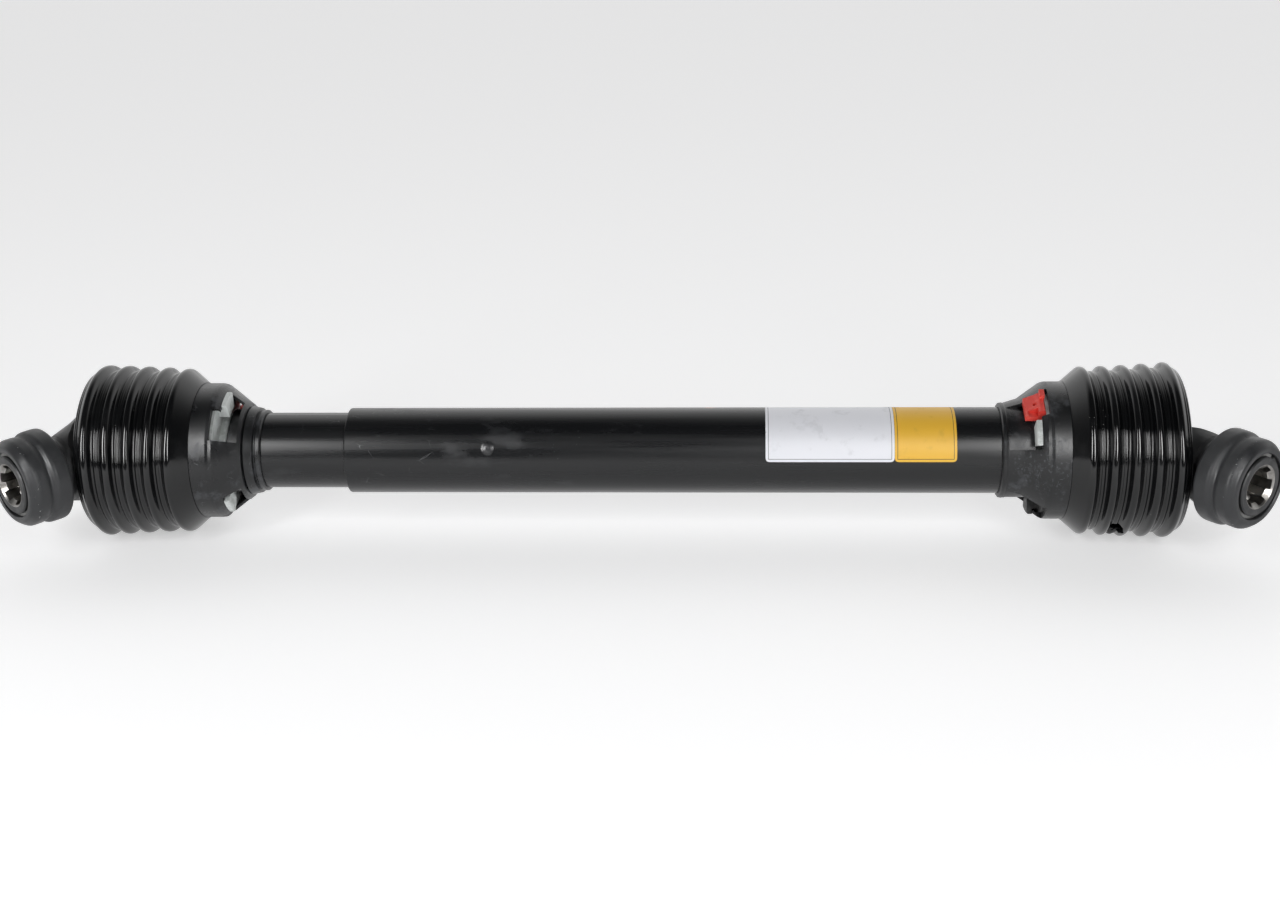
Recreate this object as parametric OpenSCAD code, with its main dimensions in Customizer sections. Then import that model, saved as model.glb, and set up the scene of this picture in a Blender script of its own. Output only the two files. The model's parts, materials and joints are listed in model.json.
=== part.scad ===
// Telescopic drive shaft for a tractor power take-off, lying on its two guard bells.
// X runs along the shaft, Z is up and the ground is Z = 0. All sizes are millimetres.
// Each end is drawn in its own frame: the universal joint's centre is the origin and X points outwards.

/* [Shaft] */
// Distance from the middle of the shaft to each universal joint's centre
joint_reach = 450; // [420:1:520]
// How far each yoke is swung out of line, level with the ground
bend = 49.5; // [35:0.5:50]
// Overlap of the guard's two tubes as the shaft lies
guard_overlap = 433; // [300:1:450]
// Overlap of the two drive tubes as the shaft lies
drive_overlap = 500; // [300:1:520]

/* [Drive tubes] */
// Radius over the lobes of the outer drive tube
drive_lobe_r = 23; // [21:0.5:24]
// Radius at the flats of the outer drive tube
drive_flat_r = 19.5; // [17:0.5:20]
// Radius of curvature of a flat
drive_side_r = 36; // [30:1:60]
// Wall of the outer drive tube
outer_drive_wall = 3.4; // [2.5:0.1:4]
// Wall of the inner drive tube
inner_drive_wall = 4; // [3:0.1:5]
// Gap between the sliding drive tubes
drive_slide_gap = 0.35; // [0.2:0.05:0.6]

/* [Guard tubes] */
// Outer radius of the outer guard tube
outer_guard_r = 37; // [36:0.1:38]
// Outer radius of the inner guard tube
inner_guard_r = 32.8; // [32:0.1:33]
// Wall of the outer guard tube
outer_guard_wall = 3.5; // [2:0.1:3.6]
// Wall of the inner guard tube
inner_guard_wall = 2.6; // [2:0.1:4]

/* [Guard base] */
// Radius of the flange that the bell sits against
flange_r = 59; // [57:0.5:61]
// Wall of the cone and the flange
base_wall = 2.6; // [2:0.1:3.5]
// Width of the flange rim
flange_w = 18; // [15:0.5:19]
// Length of the spigot inside the bell
spigot_w = 14; // [10:0.5:16]
// Distance from the joint's centre to the bell's seat on the flange
bell_seat = 79; // [77:0.5:82]
// Length of the right base from its small end to the bell's seat
base_len = 54; // [52:1:60]
// Length of the left base from its small end to the bell's seat
left_base_len = 40.4; // [38:0.1:44]
// Wall of the sleeve round the guard tube
sleeve_wall = 3.3; // [2.5:0.1:3.5]
// Half of the angle that one window takes up
window_half = 31; // [26:1:34]
// Direction of the right end's front window, up from level at the front
right_window_turn = 53; // [0:1:119]
// Direction of the left end's front window, up from level at the front
left_window_turn = 61; // [0:1:119]

/* [Bell] */
// Radius over the outermost rib
bell_r = 75; // [73:0.5:78]
// Distance between ribs
rib_pitch = 17.6; // [16.5:0.1:18]
// How much each rib is smaller than the next one out
rib_step = 0.8; // [0.4:0.1:1.2]
// Depth of the valleys between ribs
rib_depth = 5.6; // [4:0.1:6.5]
// Width of a rib's crest
crest_w = 4.4; // [3:0.1:5.5]
// Wall of the bell
bell_wall = 2.3; // [1.8:0.1:2.6]
// Depth of the flat that the soft bell takes where it rests
rest_flat = 1.2; // [0.8:0.1:1.5]

/* [Universal joint] */
// Span over the ends of two opposite bearing cups
cross_span = 74.6; // [73:0.1:76]
// Radius of a bearing cup
cup_r = 13.5; // [13:0.1:14]
// Length of a bearing cup
cup_len = 16; // [15:0.5:17]
// Radius of a trunnion
trunnion_r = 8.5; // [8:0.1:9]
// Running clearance between a trunnion and its cup
trunnion_gap = 0.05; // [0.02:0.01:0.1]
// Radius of the boss round a bearing cup
boss_r = 18.5; // [18:0.1:19]
// Thickness of a retaining ring
ring_t = 1.6; // [1.2:0.1:2]

/* [Yokes] */
// Radius of the inner yoke's hub
inner_hub_r = 31; // [30:0.5:32]
// Distance from the joint's centre to the inner end of the inner yoke
inner_hub_reach = 124; // [120:1:130]
// Radius at the bottom of the guard bearing's groove
groove_r = 27.6; // [27:0.1:28]
// Distance from the joint's centre to the end yoke's outer face
yoke_reach = 106; // [104:1:115]
// Radius of the end yoke's hub
hub_r = 25.3; // [25:0.1:25.6]
// Outer radius of the splines in the bore, standard 35 mm size
spline_major_r = 17.45; // [17.4:0.01:17.6]
// Inner radius of the splines in the bore
spline_minor_r = 14.85; // [14.7:0.01:15]
// Width of a spline slot
spline_slot = 8.76; // [8.6:0.01:9]
// Number of splines
spline_count = 6; // [6:1:6]

/* [Locking collar] */
// Radius of the collar's rear band
collar_r = 40.4; // [39:0.1:41.5]
// Radius of the collar's front band
collar_front_r = 38.2; // [37:0.1:38.5]
// Length of the collar
collar_len = 36.6; // [35:0.1:37]
// How far the collar pulls back
collar_travel = 4.5; // [4:0.1:5]
// Radius of a locking ball
ball_r = 5.75; // [5.6:0.01:5.8]
// Distance from the yoke's outer face back to the balls
ball_back = 18; // [17.5:0.1:18.5]
// Wire of the collar's spring
wire_d = 2.2; // [1.6:0.1:2.4]
// Turns of the collar's spring
spring_turns = 3; // [2:1:4]

/* [Labels] */
// Thickness of a label
label_t = 0.2; // [0.1:0.05:0.4]
// Gap between the yellow label and the right guard base
label_gap = 37.9; // [20:0.1:60]
// Length of the white label
white_label_len = 108.5; // [80:0.5:130]
// Length of the yellow label
yellow_label_len = 52; // [40:0.5:60]

/* [Hidden] */

black_gloss = [0.07, 0.07, 0.075];
black_soft = [0.09, 0.09, 0.095];
black_satin = [0.16, 0.16, 0.165];
steel = [0.62, 0.62, 0.63];
nylon = [0.82, 0.83, 0.8];

// Static fit between two pieces that stay together
fit = 0.05;
// Fineness of turned shapes and of round holes
turn_fn = 96;
hole_fn = 48;

// Swing of each hinge of the universal joint, and the roll of its first pin, that give the bend
swing = acos(sqrt(cos(bend)));
pin_roll = atan(cos(swing));

// Steps of the end yoke's hub, from the fork outwards, and its locking balls
hub_shoulder_r = 27.5;
collar_back = yoke_reach - collar_len - 0.4;
washer_x = collar_back + 1;
washer_t = 1.5;
snap_x = yoke_reach - 5.4;
snap_t = 2;
ball_x = yoke_reach - ball_back;
ball_seat = spline_minor_r + 0.1 + ball_r;
ball_hole_r = ball_r + 0.06;
// How far the balls move out to let the splines pass
ball_travel = spline_major_r - spline_minor_r - 0.05;
function ball_turn(i) = 30 + 120 * i;

// The collar, from its back to its front face
land_r = hub_r + 0.3;
ball_land_r = ball_seat + ball_r + 0.2;
pocket_r = ball_seat + ball_r + ball_travel + 0.4;
chamber_r = hub_shoulder_r + 3.5;
chamber_end = collar_back + 15;
mouth_r = hub_r + 3.1;
collar_front = collar_back + collar_len;
front_chamfer = 5;
function collar_outside() = rounded([[chamber_r, collar_back], [collar_r - 0.2, collar_back],
    [collar_r, collar_back + 5], [collar_r - 0.2, collar_back + 14],
    [collar_front_r - 1.8, collar_back + 17], [collar_front_r, collar_back + 21],
    [collar_front_r, collar_front - 6.4], [collar_front_r - front_chamfer, collar_front],
    [mouth_r + 0.5, collar_front]], 2.2);

axis_z = bell_r - rest_flat;
// The yokes reach forward, so the axis lies behind the middle of the model's box
reach_front = max([for (p = collar_outside()) p[1] * sin(bend) + p[0] * cos(bend)]);
axis_y = (reach_front - bell_r) / 2;

// Turning a profile of [radius, position] points about the X axis
module turned(points, fn = turn_fn) {
    rotate([0, 90, 0])
        rotate_extrude($fn = fn)
            polygon(points);
}

// A ring along X, from x0 to x1
module ring(r_out, r_in, x0, x1, fn = turn_fn) {
    turned([[r_in, x0], [r_out, x0], [r_out, x1], [r_in, x1]], fn);
}

// A sector round the X axis, from angle a0 to a1, measured up from level at the front
module sector(a0, a1, r, x0, x1) {
    steps = 6;
    translate([x0, 0, 0])
        rotate([90, 0, 90])
            linear_extrude(height = x1 - x0)
                polygon(concat([[0, 0]], [for (i = [0:steps]) let(a = a0 + (a1 - a0) * i / steps)
                    [-r * cos(a), r * sin(a)]]));
}

// Turns what points forward to an angle up from level
module facing(angle) {
    rotate([-angle, 0, 0])
        children();
}

// Rounds the corners of a line of points with short curves
function between(a, b, t) = a + (b - a) * t;
function cut_back(p, q, r) = min(r / norm(q - p), 0.45);
function corner(p, a, b, r, n = 3) =
    let(s = between(p, a, cut_back(p, a, r)), e = between(p, b, cut_back(p, b, r)))
    [for (i = [0:n]) let(t = i / n) between(between(s, p, t), between(p, e, t), t)];
function rounded(pts, r) = [for (i = [0:len(pts) - 1])
    each (i == 0 || i == len(pts) - 1 ? [pts[i]] : corner(pts[i], pts[i - 1], pts[i + 1], r))];

// Places one end of the shaft, 1 at the right and -1 at the left
module at_end(end) {
    translate([0, axis_y, axis_z])
        rotate([0, end < 0 ? 180 : 0, 0])
            translate([joint_reach, 0, 0])
                children();
}

// Frames of the cross and of the end yoke, seen from one end of the shaft
module at_inner_pins() {
    rotate([pin_roll, 0, 0])
        children();
}
module at_cross() {
    at_inner_pins()
        rotate([0, -swing, 0])
            children();
}
module at_yoke() {
    at_cross()
        rotate([0, 0, -swing])
            children();
}

// Drive tubes: a rounded triangle, drawn with arcs
module lobed_triangle(shrink) {
    intersection() {
        circle(r = drive_lobe_r - shrink, $fn = turn_fn);
        translate([drive_side_r - drive_flat_r, 0])
            circle(r = drive_side_r - shrink, $fn = turn_fn);
        rotate(120)
            translate([drive_side_r - drive_flat_r, 0])
                circle(r = drive_side_r - shrink, $fn = turn_fn);
        rotate(240)
            translate([drive_side_r - drive_flat_r, 0])
                circle(r = drive_side_r - shrink, $fn = turn_fn);
    }
}
module lobed_bar(shrink, x0, x1) {
    translate([x0, 0, 0])
        rotate([90, 0, 90])
            linear_extrude(height = x1 - x0)
                lobed_triangle(shrink);
}

inner_drive_shrink = outer_drive_wall + drive_slide_gap;
tube_seat = 62;
pin_back = 72;
pin_r = 4;
drive_end = drive_overlap / 2;

module drive_tube(shrink, wall, free_end) {
    x1 = joint_reach - tube_seat;
    difference() {
        lobed_bar(shrink, -free_end, x1);
        lobed_bar(shrink + wall, -free_end - 1, x1 + 1);
        translate([joint_reach - pin_back, 0, 0])
            cylinder(r = pin_r + fit / 2, h = 4 * drive_lobe_r, center = true, $fn = hole_fn);
    }
}
module at_tube(end) {
    translate([0, axis_y, axis_z])
        rotate([0, end < 0 ? 180 : 0, 0])
            children();
}
module outer_drive_tube() {
    color(steel)
        at_tube(1)
            drive_tube(0, outer_drive_wall, drive_end);
}
module inner_drive_tube() {
    color(steel)
        at_tube(-1)
            drive_tube(inner_drive_shrink, inner_drive_wall, drive_end);
}

// Guard tubes
sleeve_end = bell_seat + base_len;
tube_stop = bell_seat + 33;
guard_left_end = joint_reach - sleeve_end - 74;
module outer_guard_tube() {
    r = outer_guard_r;
    t = outer_guard_wall;
    x0 = -guard_left_end;
    x1 = joint_reach - tube_stop;
    color(black_gloss)
        at_tube(1)
            turned([[r - t, x0 + 0.6], [r - t + 0.6, x0], [r - 1.2, x0], [r - 0.35, x0 + 0.35],
                [r, x0 + 1.2], [r, x1], [r - t, x1]]);
}
module inner_guard_tube() {
    r = inner_guard_r;
    t = inner_guard_wall;
    x1 = joint_reach - tube_stop;
    x0 = guard_left_end - guard_overlap;
    color(black_gloss)
        at_tube(-1)
            turned([[r - t, x0], [r - 0.8, x0], [r, x0 + 0.8], [r, x1], [r - t, x1]]);
}

// Guard bases: a sleeve, a cone with three windows and a spigot inside the bell
cone_wide = bell_seat + flange_w;
web_back = bell_seat + 15.5;
web_t = 3.5;
bearing_w = 10;
bearing_back = web_back + bearing_w;
base_cavity_r = flange_r - 2 * base_wall - 0.2;
spigot_r = flange_r - 3;
sleeve_face = bearing_back + 1.5;
window_edge = cone_wide - 1.5;
window_step = 6.5;

module base_shell(tube_r, small_end, window_back) {
    sleeve_r = tube_r + fit + sleeve_wall;
    difference() {
        turned(concat(
            [for (p = small_end) [p[1], -p[0]]],
            [[flange_r - 1.4, -cone_wide - 1], [flange_r - 0.4, -cone_wide + 1.4],
             [flange_r, -cone_wide + 4], [flange_r, -bell_seat],
             [spigot_r, -bell_seat], [spigot_r, spigot_w - bell_seat],
             [base_cavity_r, spigot_w - bell_seat], [base_cavity_r, -cone_wide - 2.8],
             [small_end[len(small_end) - 1][1] - base_wall + 0.4, 1.6 - small_end[len(small_end) - 1][0]],
             [sleeve_r, -small_end[len(small_end) - 1][0] - 0.6],
             [sleeve_r, -sleeve_face], [tube_r + fit, -sleeve_face], [tube_r + fit, -small_end[0][0]]]));
        for (turn = [0, 120, 240]) {
            window_cut(turn, turn + window_half, sleeve_r, -window_back, -window_edge);
            window_cut(turn - window_half, turn + 0.5, sleeve_r, -window_back, -window_edge - window_step);
        }
    }
}
module window_cut(a0, a1, r_in, x0, x1) {
    difference() {
        sector(a0, a1, 2 * flange_r, x0, x1);
        turned([[0, x0 - 1], [r_in + 0.1, x0 - 1], [r_in + 0.1, x1 + 1], [0, x1 + 1]]);
    }
}

module right_guard_base() {
    s = outer_guard_r + fit + sleeve_wall;
    color(black_gloss)
        at_end(1)
            facing(right_window_turn)
                base_shell(outer_guard_r, [[sleeve_end, s - 1.2], [sleeve_end - 1, s + 0.3],
                    [sleeve_end - 3.4, s + 0.7], [sleeve_end - 4.6, s + 0.3],
                    [sleeve_end - 17, s + 4.2]], sleeve_end - 5.5);
}
left_base_end = bell_seat + left_base_len;
module left_guard_base() {
    s = inner_guard_r + fit + sleeve_wall;
    color(black_gloss)
        at_end(-1)
            facing(-left_window_turn)
                base_shell(inner_guard_r, [[left_base_end, s + 1.6], [left_base_end - 0.6, s + 5],
                    [left_base_end - 1.8, s + 6]], left_base_end - 3.4);
}

// A ribbed collar that closes the left base on the smaller tube
module left_neck_ring() {
    r = inner_guard_r + fit;
    x0 = -sleeve_end - 1;
    x1 = -left_base_end;
    color(black_gloss)
        at_end(-1)
            turned([[r, x0], [r + 1.6, x0], [r + 2.6, x0 + 1], [r + 2.6, x0 + 4], [r + 1.8, x0 + 5],
                [r + 1.8, x0 + 6], [r + 4.4, x0 + 6.6], [r + 6, x1 - 1], [r + 5, x1], [r, x1]]);
}

// Bells: soft bellows, crests and valleys from one rule, the inside parallel to the outside
crest_x = 7;
flank_w = 3.4;
bead_h = 1;
crest_rise = 0.5;
rib_count = 5;
function rib_x(k) = crest_x - k * rib_pitch;
function rib_r(k) = bell_r - k * rib_step;
function lean(t) = t * 0.56;
lip_x = crest_x + crest_w / 2 + 7.6;
lip_r = bell_r - 7.6;
function valley(k, t) =
    let(x = rib_x(k) + rib_pitch / 2, r = rib_r(k) - rib_depth - t,
        half = rib_pitch / 2 - crest_w / 2 - flank_w + lean(t), b = t > 0 ? 0 : bead_h)
    [[r, x - half], if (b > 0) [r, x - 1.7], if (b > 0) [r + b, x - 0.8], if (b > 0) [r + b, x + 0.8],
     if (b > 0) [r, x + 1.7], [r, x + half]];
function crest(k, t) =
    let(x = rib_x(k), r = rib_r(k) - t, half = crest_w / 2 - lean(t))
    [[r - crest_rise, x - half], [r, x], [r - crest_rise, x + half]];
function bell_line(t) = concat(
    crest(rib_count - 1, t),
    [for (k = [rib_count - 2:-1:0]) each concat(valley(k + 1, t), crest(k, t))]);
function reversed(v) = [for (i = [len(v) - 1:-1:0]) v[i]];

neck_r = spigot_r + fit;
cone_foot = flange_r + 0.8;
module bell() {
    foot_x = -bell_seat + 0.5;
    cone_x = rib_x(rib_count - 1) - crest_w / 2;
    wall_in = bell_wall * 1.4;
    outer = rounded(concat([[neck_r, -bell_seat], [cone_foot, -bell_seat]], [[cone_foot + 0.3, foot_x]],
        bell_line(0), [[lip_r, lip_x], [lip_r - 1.9, lip_x - 0.6]]), 2);
    inner = rounded(concat([[lip_r - 1.9, lip_x - 1.2]], reversed(bell_line(bell_wall)),
        [[cone_foot + 0.6, foot_x + wall_in], [neck_r + 2.4, foot_x + wall_in + 1.6],
         [neck_r + 2.4, spigot_w - bell_seat], [neck_r, spigot_w - bell_seat]]), 1.6);
    turned(concat(outer, inner));
}

// The part of a bell above the ground, for a bell whose axis is at its own height
module above_ground() {
    difference() {
        children();
        translate([-2 * bell_seat, -bell_r, -axis_z - 10])
            cube([4 * bell_seat, 2 * bell_r, 10]);
    }
}
module right_guard_bell() {
    color(black_soft)
        at_end(1)
            difference() {
                above_ground()
                    bell();
                tear();
            }
}
module left_guard_bell() {
    color(black_soft)
        at_end(-1)
            rotate([180, 0, 0])
                above_ground()
                    bell();
}
// The hole that a knock has torn in the right bell's underside, between two ribs
tear_turn = 60;
tear_x = (rib_x(2) + rib_x(3)) / 2;
module tear() {
    facing(-tear_turn)
        translate([tear_x, -bell_r + 2 * rib_depth, 0])
            rotate([90, 0, 0])
                linear_extrude(height = 2 * rib_depth)
                    polygon([[-5, -3], [-1, -6], [4, -4], [5, 1], [3, 6], [-2, 5], [-4, 2]]);
}

// Guard bearings: a split nylon ring that runs in the yoke's groove, with a web and three lugs
bearing_bore = groove_r + 0.06;
module bearing() {
    x0 = -bearing_back;
    x1 = x0 + bearing_w;
    web = -web_back - web_t;
    difference() {
        union() {
            ring(bearing_bore + 5, bearing_bore, x0, x1);
            ring(base_cavity_r - 0.1, bearing_bore + 4, web, web + web_t);
            for (i = [0:2])
                lug(120 * i);
        }
        sector(150, 154, bearing_bore + 8, x0 - 1, web);
    }
}
module lug(turn) {
    r_tip = flange_r - 3.8;
    intersection() {
        sector(turn - 27, turn - 4, 2 * flange_r, -bearing_back - 3, -web_back - 1);
        turned([[base_cavity_r - 12, -bearing_back - 2.4], [r_tip - 1, -bearing_back - 2.4],
            [r_tip, -bearing_back - 1.4], [r_tip, -bearing_back + 2.1],
            [base_cavity_r - 3.2, -bearing_back + 2.1], [base_cavity_r - 3.2, -web_back - web_t + 0.1],
            [base_cavity_r - 12, -web_back - web_t + 0.1]]);
    }
}
module right_guard_bearing() {
    color(nylon)
        at_end(1)
            facing(right_window_turn)
                bearing();
}
module left_guard_bearing() {
    color(nylon)
        at_end(-1)
            facing(-left_window_turn)
                bearing();
}

// Release latches: red keys that press inwards through a window to free the bearing
latch_w = 23;
latch_len = 16.5;
latch_mid = 15.5;
latch_low = outer_guard_r + sleeve_wall + 4.2;
latch_tall = flange_r - 1 - latch_low;
latch_front = web_back + web_t + 0.3;
fin_w = 8;
module latch_key() {
    facing(latch_mid)
        translate([-latch_front, -latch_low, 0])
            difference() {
                union() {
                    translate([0, 0, -latch_w / 2])
                        linear_extrude(height = latch_w)
                            polygon([[-latch_len, 0], [-latch_len, -0.34 * latch_tall],
                                [-latch_len / 2, -0.62 * latch_tall], [-4.6, -0.8 * latch_tall],
                                [-1.2, -0.86 * latch_tall], [0, -0.66 * latch_tall], [0, 0]]);
                    translate([-4.2, -latch_tall - 1.5, latch_w / 2 - fin_w])
                        cube([4.2, latch_tall, fin_w]);
                }
                translate([-latch_len + 2.5, -latch_tall, -latch_w / 2 - 1])
                    cube([8, 0.67 * latch_tall, 7]);
                translate([-latch_len / 2, -0.3 * latch_tall, 0])
                    rotate([90, 0, 0])
                        cylinder(r = 1.7, h = latch_tall, $fn = hole_fn);
            }
}
module right_release_latch() {
    color([0.86, 0.16, 0.13])
        at_end(1)
            facing(right_window_turn)
                latch_key();
}
module left_release_latch() {
    color([0.86, 0.16, 0.13])
        at_end(-1)
            facing(-left_window_turn - 120)
                latch_key();
}

// Forks: two ears on the Y axis round the cups, arms that narrow, and a base with a round crotch
ear_in = cross_span / 2 - cup_len + 0.5;
ear_out = cross_span / 2 + ring_t + 1.2;
crotch = 42;
fork_len = 56;
module fork(base_r) {
    difference() {
        intersection() {
            linear_extrude(height = 4 * boss_r, center = true)
                fork_side(base_r);
            rotate([90, 0, 0])
                linear_extrude(height = 4 * ear_out, center = true)
                    fork_front(base_r);
            turned([[0, -fork_len], [base_r, -fork_len], [ear_out - 4, -34], [ear_out + 2.4, -20],
                [ear_out + 2.4, 11], [ear_out - 1, boss_r], [0, boss_r]]);
        }
        rotate([90, 0, 0])
            cylinder(r = cup_r + fit / 2, h = 4 * ear_out, center = true, $fn = turn_fn);
        for (s = [-1, 1])
            rotate([-90 * s, 0, 0])
                translate([0, 0, cross_span / 2 + 0.05])
                    cylinder(r = cup_r + 0.9, h = ring_t + 0.1, $fn = turn_fn);
    }
}
module fork_side(base_r) {
    difference() {
        polygon([[boss_r, -ear_out], [-boss_r, -ear_out], [-fork_len + 6, -base_r - 2],
            [-fork_len, -base_r], [-fork_len, base_r], [-fork_len + 6, base_r + 2],
            [-boss_r, ear_out], [boss_r, ear_out]]);
        translate([-crotch + 12, -ear_in])
            square([crotch + boss_r, 2 * ear_in]);
        intersection() {
            translate([-crotch + ear_in, 0])
                circle(r = ear_in, $fn = turn_fn);
            translate([-crotch, -ear_in])
                square([crotch, 2 * ear_in]);
        }
    }
}
module fork_front(base_r) {
    arm = 14.5;
    circle(r = boss_r, $fn = turn_fn);
    polygon([[-4, -boss_r + 0.6], [-26, -arm - 1.5], [-44, -base_r + 3], [-fork_len, -base_r],
        [-fork_len, base_r], [-44, base_r - 3], [-26, arm + 1.5], [-4, boss_r - 0.6]]);
}

// Inner yokes: fork, hub with the bearing's groove, a tail inside the guard tube, and a socket
hub_tail_r = inner_guard_r - inner_guard_wall - 1.2;
module inner_yoke(shrink) {
    groove_x = -bearing_back - 0.25;
    difference() {
        union() {
            at_inner_pins()
                fork(inner_hub_r - 1);
            turned([[0, -inner_hub_reach], [hub_tail_r - 2, -inner_hub_reach],
                [hub_tail_r, -inner_hub_reach + 2], [hub_tail_r, 1.5 - tube_stop],
                [inner_hub_r, 1.5 - tube_stop],
                [inner_hub_r, groove_x], [groove_r, groove_x],
                [groove_r, groove_x + bearing_w + 0.5], [inner_hub_r, groove_x + bearing_w + 0.5],
                [inner_hub_r, -fork_len - 3], [inner_hub_r - 1, -fork_len + 0.5], [0, -fork_len + 0.5]]);
        }
        socket(shrink);
        translate([-pin_back, 0, 0])
            cylinder(r = pin_r + fit / 2, h = 4 * inner_hub_r, center = true, $fn = hole_fn);
    }
}
module socket(shrink) {
    lobed_bar(shrink - fit, -inner_hub_reach - 1, -tube_seat);
}
module right_inner_yoke() {
    color(black_satin)
        at_end(1)
            inner_yoke(0);
}
module left_inner_yoke() {
    color(black_satin)
        at_end(-1)
            inner_yoke(inner_drive_shrink);
}

// Spring pins that hold the yokes on the tubes
module tube_pin() {
    translate([-pin_back, 0, 0])
        difference() {
            cylinder(r = pin_r, h = 2 * inner_hub_r - 2, center = true, $fn = hole_fn);
            cylinder(r = pin_r - 1.5, h = 2 * inner_hub_r, center = true, $fn = hole_fn);
            translate([0, -0.6, -inner_hub_r])
                cube([2 * pin_r, 1.2, 2 * inner_hub_r]);
        }
}
module right_tube_pin() {
    color(steel)
        at_end(1)
            tube_pin();
}
module left_tube_pin() {
    color(steel)
        at_end(-1)
            tube_pin();
}

// Cross: four trunnions on a round body
trunnion_end = cross_span / 2 - 3;
shoulder = ear_in - 2.4;
module cross_piece() {
    difference() {
        union() {
            for (a = [0:90:270])
                rotate([a, 0, 0]) {
                    cylinder(r = 11.5, h = shoulder, $fn = turn_fn);
                    cylinder(r = trunnion_r, h = trunnion_end, $fn = turn_fn);
                }
            sphere(r = 15.5, $fn = turn_fn);
        }
        translate([0, 0, -trunnion_end - 1])
            cylinder(r = 1.5, h = 2 * trunnion_end + 2, $fn = hole_fn);
        rotate([45, 0, 0]) {
            translate([0, 0, fitting_seat - 4])
                cylinder(r = fitting_r, h = 8, $fn = hole_fn);
            translate([0, 0, fitting_seat])
                cylinder(r = fitting_hex_r + 0.6, h = 8, $fn = hole_fn);
        }
    }
}
// A grease fitting screwed into a spot face between two trunnions
fitting_seat = 16.3;
fitting_r = 2.2;
fitting_hex_r = 4;
module grease_fitting() {
    rotate([45, 0, 0])
        translate([0, 0, fitting_seat + fit]) {
            translate([0, 0, -4])
                cylinder(r = fitting_r - fit / 2, h = 4.4, $fn = hole_fn);
            cylinder(r = fitting_hex_r, h = 2.4, $fn = 6);
            cylinder(r = 2, h = 4.8, $fn = hole_fn);
            translate([0, 0, 4.9])
                sphere(r = 2.3, $fn = hole_fn);
        }
}
module seals() {
    for (a = [0:90:270])
        rotate([a, 0, 0])
            difference() {
                translate([0, 0, shoulder])
                    cylinder(r = 11.8, h = 1.7, $fn = turn_fn);
                translate([0, 0, shoulder - 1])
                    cylinder(r = trunnion_r + fit / 2, h = 5, $fn = turn_fn);
            }
}

// Cups and their retaining rings, in pairs on the Y axis
module cup_pair() {
    for (s = [-1, 1])
        rotate([-90 * s, 0, 0])
            difference() {
                translate([0, 0, cross_span / 2 - cup_len])
                    cylinder(r = cup_r, h = cup_len, $fn = turn_fn);
                translate([0, 0, cross_span / 2 - cup_len - 1])
                    cylinder(r = trunnion_r + trunnion_gap, h = cup_len - 1.6, $fn = turn_fn);
            }
}
module ring_pair() {
    for (s = [-1, 1])
        rotate([-90 * s, 0, 0])
            translate([0, 0, cross_span / 2 + 0.1])
                difference() {
                    cylinder(r = cup_r + 0.85, h = ring_t, $fn = turn_fn);
                    translate([0, 0, -1])
                        cylinder(r = cup_r - 3, h = ring_t + 2, $fn = turn_fn);
                    translate([-3.5, cup_r - 6, -1])
                        cube([7, 12, ring_t + 2]);
                }
}
module right_cross() {
    color(steel)
        at_end(1)
            at_cross()
                cross_piece();
}
module left_cross() {
    color(steel)
        at_end(-1)
            at_cross()
                cross_piece();
}
module right_grease_fitting() {
    color([0.75, 0.62, 0.35])
        at_end(1)
            at_cross()
                grease_fitting();
}
module left_grease_fitting() {
    color([0.75, 0.62, 0.35])
        at_end(-1)
            at_cross()
                grease_fitting();
}
module right_seals() {
    color(black_soft)
        at_end(1)
            at_cross()
                seals();
}
module left_seals() {
    color(black_soft)
        at_end(-1)
            at_cross()
                seals();
}
module right_inner_cups() {
    color(steel)
        at_end(1)
            at_inner_pins()
                cup_pair();
}
module left_inner_cups() {
    color(steel)
        at_end(-1)
            at_inner_pins()
                cup_pair();
}
module right_inner_rings() {
    color(steel)
        at_end(1)
            at_inner_pins()
                ring_pair();
}
module left_inner_rings() {
    color(steel)
        at_end(-1)
            at_inner_pins()
                ring_pair();
}
module right_outer_cups() {
    color(steel)
        at_end(1)
            at_yoke()
                rotate([90, 0, 0])
                    cup_pair();
}
module left_outer_cups() {
    color(steel)
        at_end(-1)
            at_yoke()
                rotate([90, 0, 0])
                    cup_pair();
}
module right_outer_rings() {
    color(steel)
        at_end(1)
            at_yoke()
                rotate([90, 0, 0])
                    ring_pair();
}
module left_outer_rings() {
    color(steel)
        at_end(-1)
            at_yoke()
                rotate([90, 0, 0])
                    ring_pair();
}

// End yokes: fork, stepped hub, splined bore, three ball holes and a ring groove
module end_yoke() {
    difference() {
        union() {
            rotate([0, 180, 0])
                rotate([90, 0, 0])
                    fork(hub_shoulder_r + 1.5);
            turned([[0, fork_len - 0.5], [hub_shoulder_r + 1.5, fork_len - 0.5],
                [hub_shoulder_r, fork_len + 3], [hub_shoulder_r, washer_x],
                [hub_r, washer_x], [hub_r, snap_x], [hub_r - 1.4, snap_x],
                [hub_r - 1.4, snap_x + snap_t + 0.1], [hub_r, snap_x + snap_t + 0.1],
                [hub_r, yoke_reach - 1], [hub_r - 1, yoke_reach], [0, yoke_reach]]);
        }
        bore();
        for (i = [0:2])
            rotate([ball_turn(i), 0, 0])
                translate([ball_x, 0, ball_seat]) {
                    cylinder(r = ball_hole_r, h = 2 * hub_r, $fn = hole_fn);
                    sphere(r = ball_hole_r, $fn = hole_fn);
                }
    }
}
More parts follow.
